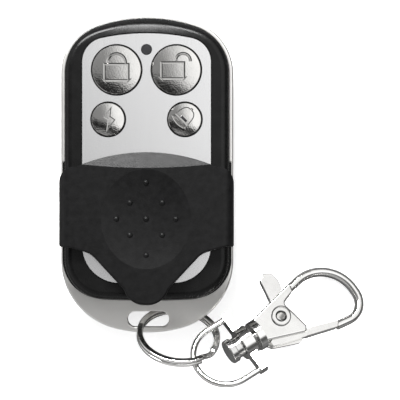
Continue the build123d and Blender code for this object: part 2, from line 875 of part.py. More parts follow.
# The clasp's own planes: X runs from the eye to the hook's far end
clasp_x = Vector(1, 0, 0).rotate(Axis.Y, clasp_pitch).rotate(Axis.Z, clasp_heading)
clasp_up = Vector(0, 0, 1).rotate(Axis.Y, clasp_pitch).rotate(Axis.Z, clasp_heading)
clasp_line = Axis((0, 0, 0), clasp_x)
hook_plane = Plane(origin=rivet_place, x_dir=clasp_x, z_dir=clasp_up.rotate(clasp_line, hook_roll))
eye_plane = Plane(
    origin=hook_plane.from_local_coords((0, -swivel_drop, 0)),
    x_dir=clasp_x,
    z_dir=clasp_up.rotate(clasp_line, eye_roll),
)


def across_swivel(reach):
    """The plane square to the swivel axis at a distance along it."""
    return Plane(
        origin=eye_plane.from_local_coords((reach, 0, 0)), x_dir=eye_plane.y_dir, z_dir=clasp_x
    )


# Swivel eye: a wire bow on a flat bar, with a bored barrel in the middle of the bar
bar_middle = barrel_far_face + eye_bar_inset + eye_bar_thickness / 2
bow_start = bar_middle - eye_side_length
with BuildPart() as swivel_eye:
    with BuildLine(eye_plane) as bow:
        Line((bar_middle, eye_half_width), (bow_start, eye_half_width))
        ThreePointArc(
            (bow_start, eye_half_width),
            (bow_start - eye_half_width, 0),
            (bow_start, -eye_half_width),
        )
        Line((bow_start, -eye_half_width), (bar_middle, -eye_half_width))
    with BuildSketch(Plane(origin=bow.line @ 0, z_dir=bow.line % 0)):
        Circle(eye_wire_radius)
    sweep()
    with BuildSketch(eye_plane.offset(-eye_bar_width / 2)):
        with Locations((bar_middle, 0)):
            Rectangle(eye_bar_thickness, 2 * (eye_half_width + eye_wire_radius))
    extrude(amount=eye_bar_width)
    with BuildSketch(across_swivel(barrel_far_face)):
        Circle(barrel_radius)
    extrude(amount=barrel_length)
    barrel_end = swivel_eye.faces().sort_by(Axis(eye_plane.origin, clasp_x))[-1]
    fillet(barrel_end.edges(), radius=turned_edge_radius)
    with BuildSketch(across_swivel(barrel_far_face)):
        Circle(pin_radius + pin_bore_gap)
    extrude(amount=barrel_length, mode=Mode.SUBTRACT)
save(swivel_eye, "swivel_eye")


# Swivel pin: headed inside the bow, pressed into the hook's collar
hub_end = barrel_far_face - pin_play
collar_start = barrel_far_face + barrel_length + collar_gap
with BuildPart() as swivel_pin:
    with BuildSketch(across_swivel(hub_end - pin_hub_length - pin_head_length)):
        Circle(pin_head_radius)
    extrude(amount=pin_head_length)
    fillet(swivel_pin.edges(), radius=frame_edge_radius / 2)
    with BuildSketch(across_swivel(hub_end - pin_hub_length)):
        Circle(pin_hub_radius)
    extrude(amount=pin_hub_length)
    with BuildSketch(across_swivel(hub_end)):
        Circle(pin_radius)
    extrude(amount=collar_start + collar_bore_depth - hub_end)
save(swivel_pin, "swivel_pin")


# Hook: collar, channelled body and the round arm that ends at the gate
body_corners = [
    (-5.0, 2.3),
    (5.4, 4.74),
    (4.9, 3.0),
    (1.95, 1.98),
    (3.3, -4.0),
    (2.6, -4.9),
    (-5.0, -2.35),
]
crotch_radius = 1.0
heel_radius = 0.5
hook_edge_radius = 0.35
back_plate_corners = [(-5.0, -2.0), (-5.0, -3.75), (1.6, -6.1), (2.6, -4.9), (2.0, -2.0)]
arm_start = (3.0, 3.36)
arm_top = 6.35
arm_low = -7.75
arm_end = (8.6, -6.85)
with BuildPart() as hook_body:
    with BuildSketch(hook_plane.offset(-hook_thickness / 2)) as body_outline:
        Polygon(*body_corners, align=None)
        for corner, radius in (
            (body_corners[3], crotch_radius),
            (body_corners[4], heel_radius),
            (body_corners[5], heel_radius),
        ):
            fillet(body_outline.vertices().sort_by_distance(corner)[0], radius=radius)
    extrude(amount=hook_thickness)
    with BuildSketch(hook_plane.offset(-hook_thickness / 2)):
        Polygon(*back_plate_corners, align=None)
        Circle(back_plate_reach, mode=Mode.INTERSECT)
    extrude(amount=(hook_thickness - channel_width) / 2)
    hook_faces = hook_body.faces().sort_by(Axis(hook_plane.origin, hook_plane.z_dir))
    fillet(hook_faces[-1].edges(), radius=hook_edge_radius)
    with BuildLine(hook_plane) as arm_line:
        FilletPolyline(
            arm_start,
            (arm_reach, arm_top),
            (arm_reach, arm_low),
            arm_end,
            radius=[arm_bend_radius, arm_end_bend_radius],
        )
    with BuildSketch(
        Plane(origin=arm_line.line @ 0, x_dir=hook_plane.z_dir, z_dir=arm_line.line % 0)
    ):
        RectangleRounded(arm_thickness, arm_width, arm_round)
    sweep()
    with BuildSketch(across_swivel(collar_start)):
        Circle(collar_radius)
    extrude(amount=collar_length)
    collar_face = hook_body.faces().sort_by(Axis(hook_plane.origin, clasp_x))[0]
    fillet(collar_face.edges(), radius=turned_edge_radius)
    with BuildSketch(hook_plane.offset(-channel_width / 2)):
        with Locations(((channel_start + channel_end) / 2, 0)):
            Rectangle(channel_end - channel_start, 2 * arm_reach)
        with Locations((channel_end, -arm_reach)):
            Rectangle(
                arm_slot_end - channel_end,
                arm_reach + arm_slot_top,
                align=(Align.MIN, Align.MIN),
            )
    extrude(amount=channel_width, mode=Mode.SUBTRACT)
    with BuildSketch(hook_plane.offset(-hook_thickness)):
        Circle(rivet_shank_radius)
    extrude(amount=2 * hook_thickness, mode=Mode.SUBTRACT)
    with BuildSketch(hook_plane.offset(-hook_thickness)):
        with Locations(arm_end):
            Rectangle(2 * arm_end_bend_radius, 2 * arm_end_bend_radius)
        Circle(tip_clearance_radius, mode=Mode.INTERSECT)
    extrude(amount=2 * hook_thickness, mode=Mode.SUBTRACT)
    with BuildSketch(across_swivel(collar_start)):
        Circle(pin_radius)
    extrude(amount=collar_bore_depth, mode=Mode.SUBTRACT)
save(hook_body, "hook_body")


# Gate: one lever with a thumb tab above the rivet and the closing arm below it
gate_corners = [
    (0.85, 8.1),
    (2.1, 8.95),
    (3.6, 8.1),
    (3.95, 6.4),
    (3.6, 4.7),
    (1.7, 2.2),
    (1.9, -1.5),
    (3.2, -4.45),
    (11.0, -6.84),
    (11.0, -7.88),
    (-4.2, -3.9),
    (-4.2, -2.95),
    (-3.6, -2.75),
    (-1.9, -0.9),
    (-1.95, 1.0),
    (0.2, 3.7),
]
gate_hub_radius = 2.35
gate_arm_corners = [*gate_corners[7:10], (2.0, -5.55)]
with BuildPart() as gate_lever:
    with BuildSketch(hook_plane.offset(-gate_thickness / 2)) as lever_outline:
        Polygon(*gate_corners, align=None)
        for corner in gate_corners[:4]:
            fillet(lever_outline.vertices().sort_by_distance(corner)[0], radius=0.9)
        Circle(gate_hub_radius)
    extrude(amount=gate_thickness)
    with BuildSketch(hook_plane.offset(-gate_wide_thickness / 2)):
        Polygon(*gate_arm_corners, align=None)
        Circle(gate_wide_from_radius, mode=Mode.SUBTRACT)
    extrude(amount=gate_wide_thickness)
    with BuildSketch(hook_plane.offset(-hook_thickness)):
        Circle(tip_clearance_radius - gate_end_gap)
    extrude(amount=2 * hook_thickness, mode=Mode.INTERSECT)
    with BuildSketch(hook_plane.offset(-hook_thickness)):
        Circle(rivet_shank_radius + gate_bore_gap)
    extrude(amount=2 * hook_thickness, mode=Mode.SUBTRACT)
    with BuildSketch(hook_plane.offset(gate_thickness / 2 - spring_pocket_depth)):
        Circle(spring_pocket_radius)
    extrude(amount=spring_pocket_depth, mode=Mode.SUBTRACT)
    tab = gate_lever.edges().filter_by(lambda edge: hook_plane.to_local_coords(edge @ 0.5).Y > 5.2)
    fillet(tab.filter_by(hook_plane), radius=turned_edge_radius)
save(gate_lever, "gate_lever")


# Gate rivet: semi-tubular, open at the front, with a rolled head each side
with BuildPart() as gate_rivet:
    with BuildSketch(Plane(origin=hook_plane.origin, x_dir=clasp_x, z_dir=-hook_plane.y_dir)):
        with BuildLine():
            head_top = hook_thickness / 2 + rivet_head_height
            Polyline(
                (rivet_bore_radius, 0),
                (rivet_bore_radius, hook_thickness / 2),
                (rivet_bore_radius + rivet_flare, head_top),
                (rivet_head_radius - rivet_flare / 2, head_top),
                (rivet_head_radius, head_top - rivet_flare / 2),
                (rivet_head_radius, hook_thickness / 2),
                (rivet_shank_radius, hook_thickness / 2),
                (rivet_shank_radius, 0),
                close=True,
            )
        make_face()
    revolve(axis=Axis(hook_plane.origin, hook_plane.z_dir))
    mirror(about=hook_plane)
    with BuildSketch(hook_plane.offset(-hook_thickness / 2)):
        Circle(rivet_shank_radius)
    extrude(amount=rivet_floor)
save(gate_rivet, "gate_rivet")


# Gate spring: a small torsion coil round the rivet, in the lever's pocket
with BuildPart() as gate_spring:
    pocket_middle = gate_thickness / 2 - spring_pocket_depth / 2
    spring_height = spring_turns * 2.2 * spring_wire_radius
    with BuildLine() as spring_coil:
        Helix(
            pitch=2.2 * spring_wire_radius,
            height=spring_height,
            radius=spring_radius,
            center=hook_plane.from_local_coords((0, 0, pocket_middle - spring_height / 2)),
            direction=hook_plane.z_dir,
        )
    with BuildSketch(Plane(origin=spring_coil.line @ 0, z_dir=spring_coil.line % 0)):
        RegularPolygon(spring_wire_radius, 6)
    sweep(is_frenet=True)
save(gate_spring, "gate_spring")
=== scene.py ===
# %% [markdown]
# # A key-ring remote, dressed in Blender
#
# The remote is a small object seen from very near, so its look comes from a few finishes
# done well: satin die casting, brushed sheet, chromed caps, glossy and soft-touch plastic,
# and nickel-plated hardware. The solids already come from CAD. This file gives each solid
# its finish, models the raised signs on the buttons, and sets up the studio.
#
# Everything is in metres and in the frame of the CAD model, so a piece goes where the CAD
# says. The first cell loads that model.

from math import cos, pi, radians, sin

import bpy
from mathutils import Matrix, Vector


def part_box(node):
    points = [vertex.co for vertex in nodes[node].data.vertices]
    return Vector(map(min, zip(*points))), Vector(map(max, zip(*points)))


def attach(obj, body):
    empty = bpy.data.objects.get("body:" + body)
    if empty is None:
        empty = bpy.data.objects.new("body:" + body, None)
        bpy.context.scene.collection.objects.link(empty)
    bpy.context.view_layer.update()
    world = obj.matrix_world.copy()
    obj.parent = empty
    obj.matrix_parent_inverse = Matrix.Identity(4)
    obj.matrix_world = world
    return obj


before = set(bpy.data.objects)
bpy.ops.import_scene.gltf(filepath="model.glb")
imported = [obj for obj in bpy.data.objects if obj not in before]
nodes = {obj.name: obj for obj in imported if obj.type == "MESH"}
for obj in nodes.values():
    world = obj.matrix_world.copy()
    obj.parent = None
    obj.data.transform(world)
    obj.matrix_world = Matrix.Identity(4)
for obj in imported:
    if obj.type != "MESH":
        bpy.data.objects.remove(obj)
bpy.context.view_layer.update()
mm = 0.001

# %% [markdown]
# ## Two patterns that the finishes share
#
# No real surface is one flat value. Paint, plating and moulded plastic all have a fine
# grain, and handling leaves broad, faint smudges. Both are noise, only at other scales, so
# one node group serves all of them: it takes a scale and two limits and gives a value
# between the limits. A second group is the same noise pulled long in one direction, which
# is what a brushing wheel leaves on a metal sheet. A third group is a mask for painted
# shade: a dark ring painted into the narrow gap round a button, where shade falls.
#
# A node group is like a function: it is built once, and each material puts in its own
# values. Its sockets are made with interface.new_socket.


# %% Helpers for shader groups
usual_noise = (0.3, 0.7)


def new_group(name, inputs, outputs):
    """A shader group with named float inputs and outputs; gives the group and its two ends."""
    group = bpy.data.node_groups.new(name, "ShaderNodeTree")
    for label, value in inputs.items():
        socket = group.interface.new_socket(label, in_out="INPUT", socket_type="NodeSocketFloat")
        socket.default_value = value
    for label in outputs:
        group.interface.new_socket(label, in_out="OUTPUT", socket_type="NodeSocketFloat")
    return group, group.nodes.new("NodeGroupInput"), group.nodes.new("NodeGroupOutput")


def spread_between_limits(group, value, start, end):
    """Stretch the usual range of a noise value over the group's Low and High inputs."""
    spread = group.nodes.new("ShaderNodeMapRange")
    spread.inputs["From Min"].default_value, spread.inputs["From Max"].default_value = usual_noise
    group.links.new(value, spread.inputs["Value"])
    group.links.new(start.outputs["Low"], spread.inputs["To Min"])
    group.links.new(start.outputs["High"], spread.inputs["To Max"])
    group.links.new(spread.outputs["Result"], end.inputs["Value"])


# %% The speckle group: even noise at any scale
speckle, start, end = new_group("speckle", {"Scale": 1000.0, "Low": 0.0, "High": 1.0}, ["Value"])
place = speckle.nodes.new("ShaderNodeTexCoord")
noise = speckle.nodes.new("ShaderNodeTexNoise")
noise.inputs["Detail"].default_value = 3.0
speckle.links.new(place.outputs["Object"], noise.inputs["Vector"])
speckle.links.new(start.outputs["Scale"], noise.inputs["Scale"])
spread_between_limits(speckle, noise.outputs["Fac"], start, end)

# %% The brushed group: noise pulled long along Y
brushed, start, end = new_group("brushed", {"Scale": 1000.0, "Low": 0.0, "High": 1.0}, ["Value"])
stroke_stretch = 40.0
place = brushed.nodes.new("ShaderNodeTexCoord")
pull = brushed.nodes.new("ShaderNodeMapping")
pull.inputs["Scale"].default_value = (1.0, 1.0 / stroke_stretch, 1.0)
noise = brushed.nodes.new("ShaderNodeTexNoise")
noise.inputs["Detail"].default_value = 4.0
brushed.links.new(place.outputs["Object"], pull.inputs["Vector"])
brushed.links.new(pull.outputs["Vector"], noise.inputs["Vector"])
brushed.links.new(start.outputs["Scale"], noise.inputs["Scale"])
spread_between_limits(brushed, noise.outputs["Fac"], start, end)

# %% The painted gap shade group: a soft ring of painted shade round a cap, 1 in the ring and 0 elsewhere
painted_gap_shade, start, end = new_group(
    "painted_gap_shade", {"X": 0.0, "Y": 0.0, "Radius": 1.0, "Half Width": 1.0}, ["Value"]
)
place = painted_gap_shade.nodes.new("ShaderNodeTexCoord")
split = painted_gap_shade.nodes.new("ShaderNodeSeparateXYZ")
painted_gap_shade.links.new(place.outputs["Object"], split.inputs["Vector"])
flat = painted_gap_shade.nodes.new("ShaderNodeCombineXYZ")
centre = painted_gap_shade.nodes.new("ShaderNodeCombineXYZ")
for label in ("X", "Y"):
    painted_gap_shade.links.new(split.outputs[label], flat.inputs[label])
    painted_gap_shade.links.new(start.outputs[label], centre.inputs[label])
reach = painted_gap_shade.nodes.new("ShaderNodeVectorMath")
reach.operation = "DISTANCE"
painted_gap_shade.links.new(flat.outputs["Vector"], reach.inputs[0])
painted_gap_shade.links.new(centre.outputs["Vector"], reach.inputs[1])
off_ring = painted_gap_shade.nodes.new("ShaderNodeMath")
off_ring.operation = "SUBTRACT"
painted_gap_shade.links.new(reach.outputs["Value"], off_ring.inputs[0])
painted_gap_shade.links.new(start.outputs["Radius"], off_ring.inputs[1])
either_side = painted_gap_shade.nodes.new("ShaderNodeMath")
either_side.operation = "ABSOLUTE"
painted_gap_shade.links.new(off_ring.outputs["Value"], either_side.inputs[0])
fade = painted_gap_shade.nodes.new("ShaderNodeMapRange")
fade.interpolation_type = "SMOOTHSTEP"
fade.inputs["From Max"].default_value = 0.0
painted_gap_shade.links.new(either_side.outputs["Value"], fade.inputs["Value"])
painted_gap_shade.links.new(start.outputs["Half Width"], fade.inputs["From Min"])
painted_gap_shade.links.new(fade.outputs["Result"], end.inputs["Value"])
print("shader groups:", [group.name for group in (speckle, brushed, painted_gap_shade)])

# %% [markdown]
# ## A finish is a shader with three patterns on it
#
# Every finish here is built the same way: a Principled BSDF whose plain values are set on
# its own sockets, and up to three patterns that vary the colour, the roughness and the
# height of the surface. The height goes through a Bump node, with its distance given in
# metres, so a grain of two microns stays two microns.


# %% Helpers for finishes
def place_group(material, group, **values):
    """Put a shader group into a material with its own input values."""
    node = material.node_tree.nodes.new("ShaderNodeGroup")
    node.node_tree = group
    for label, value in values.items():
        node.inputs[label].default_value = value
    return node.outputs["Value"]


def vary_colour(material, group, scale, dark, light):
    """Let the base colour wander between two colours."""
    tree = material.node_tree
    mix = tree.nodes.new("ShaderNodeMix")
    mix.data_type = "RGBA"
    mix.inputs["A"].default_value = (*dark, 1.0)
    mix.inputs["B"].default_value = (*light, 1.0)
    tree.links.new(place_group(material, group, Scale=scale), mix.inputs["Factor"])
    tree.links.new(mix.outputs["Result"], tree.nodes["Principled BSDF"].inputs["Base Color"])


def vary_roughness(material, group, scale, low, high):
    """Let the roughness wander between two limits."""
    value = place_group(material, group, Scale=scale, Low=low, High=high)
    tree = material.node_tree
    tree.links.new(value, tree.nodes["Principled BSDF"].inputs["Roughness"])


def raise_grain(material, group, scale, height):
    """Give the surface a grain of the given height in metres."""
    tree = material.node_tree
    bump = tree.nodes.new("ShaderNodeBump")
    bump.inputs["Distance"].default_value = height
    tree.links.new(place_group(material, group, Scale=scale), bump.inputs["Height"])
    tree.links.new(bump.outputs["Normal"], tree.nodes["Principled BSDF"].inputs["Normal"])


def bend_towards_head(material, start_y, length, fall):
    """Tilt the normal as on a crown that falls off towards the head, slowly at first."""
    tree = material.node_tree
    coordinates = tree.nodes.new("ShaderNodeTexCoord")
    parts = tree.nodes.new("ShaderNodeSeparateXYZ")
    along = tree.nodes.new("ShaderNodeMapRange")
    along.inputs["From Min"].default_value = start_y
    along.inputs["From Max"].default_value = start_y + length
    square = tree.nodes.new("ShaderNodeMath")
    square.operation = "POWER"
    square.inputs[1].default_value = 2.0
    drop = tree.nodes.new("ShaderNodeMath")
    drop.operation = "MULTIPLY"
    drop.inputs[1].default_value = -fall
    bump = tree.nodes.new("ShaderNodeBump")
    bump.inputs["Distance"].default_value = 1.0
    tree.links.new(coordinates.outputs["Object"], parts.inputs["Vector"])
    tree.links.new(parts.outputs["Y"], along.inputs["Value"])
    tree.links.new(along.outputs["Result"], square.inputs[0])
    tree.links.new(square.outputs["Value"], drop.inputs[0])
    tree.links.new(drop.outputs["Value"], bump.inputs["Height"])
    normal = tree.nodes["Principled BSDF"].inputs["Normal"]
    tree.links.new(normal.links[0].from_socket, bump.inputs["Normal"])
    tree.links.new(bump.outputs["Normal"], normal)


def finish_of(name, metallic=0.0, specular=0.5, coat=0.0):
    """A new material whose plain values sit on the shader's own sockets."""
    material = bpy.data.materials.new(name)
    material.use_nodes = True
    shader = material.node_tree.nodes["Principled BSDF"]
    shader.inputs["Metallic"].default_value = metallic
    shader.inputs["Specular IOR Level"].default_value = specular
    shader.inputs["Coat Weight"].default_value = coat
    return material


def dress(material, *names):
    """Give a finish to CAD nodes, whose shapes stay as they are."""
    for name in names:
        for place in nodes[name].material_slots:
            place.material = material


# %% [markdown]
# ## Metal finishes
#
# The frame is a zinc casting under satin chrome, so it is a metal with a medium roughness
# and a very fine grain. The plate is thin aluminium brushed along the fob: its strokes
# bend the surface only crosswise, which is why the pattern is pulled along Y. The caps are
# chromed plastic. Plating shows every ripple of the moulding below it, so they get an
# almost perfect mirror and a soft ripple about a quarter of a millimetre long. The ring and
# the clasp are plated steel, and the pin that the clasp turns on is a little darker.

# %% Satin frame, brushed plate and chromed caps
satin_casting = finish_of("satin_casting", metallic=1.0)
vary_colour(satin_casting, speckle, 220.0, (0.78, 0.77, 0.75), (0.82, 0.81, 0.79))
vary_roughness(satin_casting, speckle, 900.0, 0.33, 0.37)
raise_grain(satin_casting, speckle, 6000.0, 0.2e-6)
dress(satin_casting, "metal_frame")

brushed_sheet = finish_of("brushed_sheet", metallic=1.0)
vary_colour(brushed_sheet, brushed, 9000.0, (0.91, 0.91, 0.915), (0.94, 0.94, 0.945))
vary_roughness(brushed_sheet, brushed, 6000.0, 0.22, 0.25)
raise_grain(brushed_sheet, brushed, 14000.0, 0.2e-6)
dress(brushed_sheet, "face_plate")

cap_chrome = finish_of("cap_chrome", metallic=1.0)
vary_colour(cap_chrome, speckle, 350.0, (0.60, 0.595, 0.58), (0.67, 0.66, 0.645))
vary_roughness(cap_chrome, speckle, 1500.0, 0.05, 0.11)
raise_grain(cap_chrome, speckle, 3800.0, 9.0e-6)
key_names = ["lock", "unlock", "bolt", "bell"]
dress(cap_chrome, *[f"{key}_button" for key in key_names])

# %% Ring and clasp
ring_steel = finish_of("ring_steel", metallic=1.0)
vary_colour(ring_steel, speckle, 500.0, (0.74, 0.735, 0.725), (0.84, 0.835, 0.82))
vary_roughness(ring_steel, speckle, 1800.0, 0.12, 0.22)
raise_grain(ring_steel, speckle, 5000.0, 1.5e-6)
dress(ring_steel, "split_ring")

clasp_nickel = finish_of("clasp_nickel", metallic=1.0)
vary_colour(clasp_nickel, speckle, 300.0, (0.72, 0.715, 0.70), (0.77, 0.765, 0.75))
vary_roughness(clasp_nickel, speckle, 1200.0, 0.09, 0.15)
raise_grain(clasp_nickel, speckle, 2500.0, 2.0e-6)
dress(clasp_nickel, "swivel_eye", "hook_body", "gate_lever", "gate_rivet")

pin_steel = finish_of("pin_steel", metallic=1.0)
vary_colour(pin_steel, speckle, 400.0, (0.56, 0.555, 0.55), (0.66, 0.655, 0.65))
vary_roughness(pin_steel, speckle, 1500.0, 0.12, 0.20)
raise_grain(pin_steel, speckle, 3000.0, 2.0e-6)
dress(pin_steel, "swivel_pin")

# %% [markdown]
# ## Plastic finishes
#
# The shell is a polished moulding, dark and slightly wavy. The cover over it has a
# soft-touch paint: it takes hardly any gloss and has a dusty, sandy grain that the light
# catches in the thumb dish. The back has a plain spark-eroded texture. The flat top of the
# shell shades as a crown that falls off towards the head, and only its normals bend.

# %% Shell, cover, back and lens
crown_start = 24.0 * mm
crown_length = 8.0 * mm
crown_fall = 3.0 * mm
shell_gloss = finish_of("shell_gloss", specular=0.22)
vary_colour(shell_gloss, speckle, 400.0, (0.003, 0.003, 0.003), (0.005, 0.005, 0.005))
vary_roughness(shell_gloss, speckle, 700.0, 0.22, 0.30)
raise_grain(shell_gloss, speckle, 1500.0, 0.5e-6)
bend_towards_head(shell_gloss, crown_start, crown_length, crown_fall)
dress(shell_gloss, "front_shell")

soft_touch = finish_of("soft_touch", specular=0.19)
vary_colour(soft_touch, speckle, 900.0, (0.003, 0.003, 0.0031), (0.006, 0.006, 0.0062))
vary_roughness(soft_touch, speckle, 1200.0, 0.36, 0.42)
raise_grain(soft_touch, speckle, 5200.0, 10.0e-6)
dress(soft_touch, "slide_cover")

back_texture = finish_of("back_texture", specular=0.4)
vary_colour(back_texture, speckle, 600.0, (0.016, 0.016, 0.017), (0.026, 0.026, 0.027))
vary_roughness(back_texture, speckle, 1500.0, 0.5, 0.62)
raise_grain(back_texture, speckle, 4000.0, 1.5e-5)
dress(back_texture, "rear_cover")

lens_dark = finish_of("lens_dark", specular=0.5, coat=0.5)
vary_colour(lens_dark, speckle, 900.0, (0.006, 0.006, 0.007), (0.014, 0.014, 0.016))
vary_roughness(lens_dark, speckle, 1500.0, 0.12, 0.2)
dress(lens_dark, "led_lens")

# %% [markdown]
# ### Painted shade round the caps
#
# Each cap gets a dark ring of painted shade in the narrow gap round it, which also reaches
# over the two edges beside it. The mask group is placed once for each cap, and the four
# rings together darken the colour that is already there.

# %% Painted shade on the chrome and the sheet beside the gaps
cap_flange = 0.6 * mm
gap_middle = 0.05 * mm
shade_half_width = 0.24 * mm
# The dark colour of the painted shade in the gaps round the caps.
painted_shade_colour = (0.012, 0.012, 0.012, 1.0)


def cap_of(key):
    """The middle of a cap, its crown's height and its radius."""
    low, high = (Vector(corner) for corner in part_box(f"{key}_button"))
    middle = (low + high) / 2
    return middle.x, middle.y, high.z, (high.x - low.x) / 2 - cap_flange


def paint_gap_shade(material, rings, half_width):
    """Mix painted shade into the base colour, in rings given by middle and radius."""
    tree = material.node_tree
    base = tree.nodes["Principled BSDF"].inputs["Base Color"]
    for x, y, radius in rings:
        mask = place_group(
            material, painted_gap_shade, **{"X": x, "Y": y, "Radius": radius, "Half Width": half_width}
        )
        mix = tree.nodes.new("ShaderNodeMix")
        mix.data_type = "RGBA"
        mix.inputs["B"].default_value = painted_shade_colour
        tree.links.new(mask, mix.inputs["Factor"])
        tree.links.new(base.links[0].from_socket, mix.inputs["A"])
        tree.links.new(mix.outputs["Result"], base)


cap_rings = []
for key in key_names:
    x, y, _, radius = cap_of(key)
    cap_rings.append((x, y, radius + gap_middle))
# Painted shade: dark rings on the caps' chrome and on the sheet beside each gap.
paint_gap_shade(cap_chrome, cap_rings, shade_half_width)
paint_gap_shade(brushed_sheet, cap_rings, shade_half_width)

# %% Painted shade round the clasp's rivet
rivet_low, rivet_high = (Vector(corner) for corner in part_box("gate_rivet"))
rivet_middle = (rivet_low + rivet_high) / 2
clasp_normal = Vector((0.132, 0.372, 0.919))
rivet_half_length = 1.6 * mm
rivet_head_radius = 1.80 * mm
rivet_mouth_radius = 0.92 * mm
rivet_shade_half_width = 0.14 * mm
rivet_front = rivet_middle + rivet_half_length * clasp_normal
rivet_rings = [
    (rivet_front.x, rivet_front.y, radius) for radius in (rivet_head_radius, rivet_mouth_radius)
]
# Painted shade: two dark rings on the clasp, at the rivet's head and at its mouth.
paint_gap_shade(clasp_nickel, rivet_rings, rivet_shade_half_width)
print("rivet's front at", [round(v / mm, 2) for v in rivet_front])

# %% [markdown]
# ## Finishes inside the case
#
# The case hides these pieces, but each has the finish that it would have on a bench: green
# solder mask, tinned contacts, a shrink sleeve round the cell, moulded switches and a coil
# of enamelled wire. One table of plain facts makes them all, because they differ only in
# colour, gloss and grain.

# %% The inner pieces: metallic, roughness, darkest and lightest colour, and the CAD nodes
inner_finishes = {
    "solder_mask": (0.0, 0.30, (0.015, 0.10, 0.040), (0.030, 0.16, 0.065), ["circuit_board"]),
    "cell_sleeve": (0.0, 0.28, (0.16, 0.018, 0.014), (0.22, 0.028, 0.020), ["battery_cell"]),
    "tinned_contact": (
        1.0,
        0.26,
        (0.66, 0.65, 0.62),
        (0.78, 0.77, 0.74),
        ["battery_terminal", "battery_spring", "battery_contact"],
    ),
    "switch_nylon": (
        0.0,
        0.48,
        (0.020, 0.020, 0.020),
        (0.034, 0.034, 0.034),
        [f"{key}_switch" for key in key_names],
    ),
    "plunger_nylon": (
        0.0,
        0.42,
        (0.07, 0.07, 0.068),
        (0.11, 0.11, 0.107),
        [f"{key}_plunger" for key in key_names],
    ),
    "diode_resin": (0.0, 0.22, (0.70, 0.68, 0.58), (0.82, 0.80, 0.70), ["indicator_led"]),
    "chip_epoxy": (0.0, 0.55, (0.018, 0.018, 0.018), (0.032, 0.032, 0.032), ["encoder_chip"]),
    "can_steel": (1.0, 0.24, (0.58, 0.58, 0.58), (0.70, 0.70, 0.70), ["resonator_can"]),
    "coil_enamel": (1.0, 0.30, (0.58, 0.25, 0.10), (0.74, 0.36, 0.17), ["antenna_coil"]),
    "chip_ceramic": (0.0, 0.40, (0.22, 0.18, 0.14), (0.34, 0.29, 0.24), ["chip_parts"]),
    "screw_black": (1.0, 0.38, (0.16, 0.16, 0.165), (0.24, 0.24, 0.245), ["case_screws"]),
    "spring_wire": (1.0, 0.30, (0.50, 0.50, 0.51), (0.62, 0.62, 0.63), ["gate_spring"]),
}
for name, (metallic, roughness, dark, light, pieces) in inner_finishes.items():
    inner = finish_of(name, metallic=metallic)
    vary_colour(inner, speckle, 800.0, dark, light)
    vary_roughness(inner, speckle, 1500.0, roughness - 0.05, roughness + 0.05)
    raise_grain(inner, speckle, 4500.0, 3.0e-6)
    dress(inner, *pieces)
print("finishes:", len(bpy.data.materials))

# %% [markdown]
# ## The signs on the buttons
#
# Each cap carries one raised sign: a closed padlock, an open padlock, a lightning bolt and
# a bell. They are part of the moulding below the chrome, 0.12 to 0.17 mm proud, with sloped
# sides that catch the light on one flank and lose it on the other. How steep a flank is
# decides what it mirrors, so the slopes are set and the heights follow from them.
#
# A sign is first modelled flat round the origin, then laid on its cap. A cap is a shallow
# dome, so the last helper lifts each corner of the mesh by the dome's own rise there, and
# puts the place into the mesh, which leaves the object itself at the origin.

# %% How deep the signs stand in the caps
sign_foot = 0.12 * mm
cap_rise = 0.38 * mm
smooth_below = radians(15.0)


# %% Helpers for modelling with operators
def start_piece():
    """Deselect everything, so that the next operators act on the new piece alone."""
    if bpy.context.mode != "OBJECT":
        bpy.ops.object.mode_set(mode="OBJECT")
    bpy.ops.object.select_all(action="DESELECT")


def pick(test, kind="FACE"):
    """In edit mode, select the faces, edges or corners of the mesh that pass a test."""
    bpy.ops.mesh.select_all(action="DESELECT")
    bpy.ops.object.mode_set(mode="OBJECT")
    mesh = bpy.context.object.data
    if kind == "FACE":
        for face in mesh.polygons:
            face.select = test(face)
    elif kind == "EDGE":
        for edge in mesh.edges:
            edge.select = test([mesh.vertices[corner].co for corner in edge.vertices])
    else:
        for corner in mesh.vertices:
            corner.select = test(corner.co)
    bpy.ops.object.mode_set(mode="EDIT")
    bpy.ops.mesh.select_mode(type=kind)


def name_piece(name):
    """Leave edit mode and name the piece and its mesh."""
    bpy.ops.object.mode_set(mode="OBJECT")
    piece = bpy.context.object
    piece.name = name
    piece.data.name = name
    return piece


# %% [markdown]
# ### The raised block
#
# All four signs share one move. A flat face is pulled up from its foot, then inset and
# pulled up again a little, which leaves sloped flanks. A sign with a plain top stops there.
# The padlock's body and the bell's lip have only a raised edge: past a narrow crest, the
# top is inset once more and pushed down again.

# %% Pulling a flat outline up into a sign
flank = 0.26 * mm
narrow_flank = 0.18 * mm
flank_slope = 0.66
crest = 0.03 * mm
inner_flank = 0.18 * mm
inner_slope = 0.82


def lift(distance):
    bpy.ops.transform.translate(value=(0.0, 0.0, distance))


def raise_outline(width, edge_only=False):
    """In edit mode, with a flat outline selected, build the sign's block on it."""
    bpy.ops.mesh.extrude_region_move(TRANSFORM_OT_translate={"value": (0, 0, sign_foot)})
    bpy.ops.mesh.inset(thickness=width)
    lift(width * flank_slope)
    if edge_only:
        bpy.ops.mesh.inset(thickness=crest)
        bpy.ops.mesh.inset(thickness=inner_flank)
        lift(-inner_flank * inner_slope)


def close_outline():
    """Merge doubled corners and turn all faces outwards. The lowest face stays as the foot."""
    bpy.ops.mesh.select_all(action="SELECT")
    bpy.ops.mesh.remove_doubles(threshold=0.001 * mm)
    bpy.ops.mesh.select_all(action="SELECT")
    bpy.ops.mesh.normals_make_consistent(inside=False)


def split_for_dome(cuts):
    """Cut the flat tops into small triangles, which can bend over the dome."""
    bpy.ops.mesh.select_all(action="SELECT")
    bpy.ops.mesh.quads_convert_to_tris()
    bpy.ops.mesh.subdivide(number_cuts=cuts)


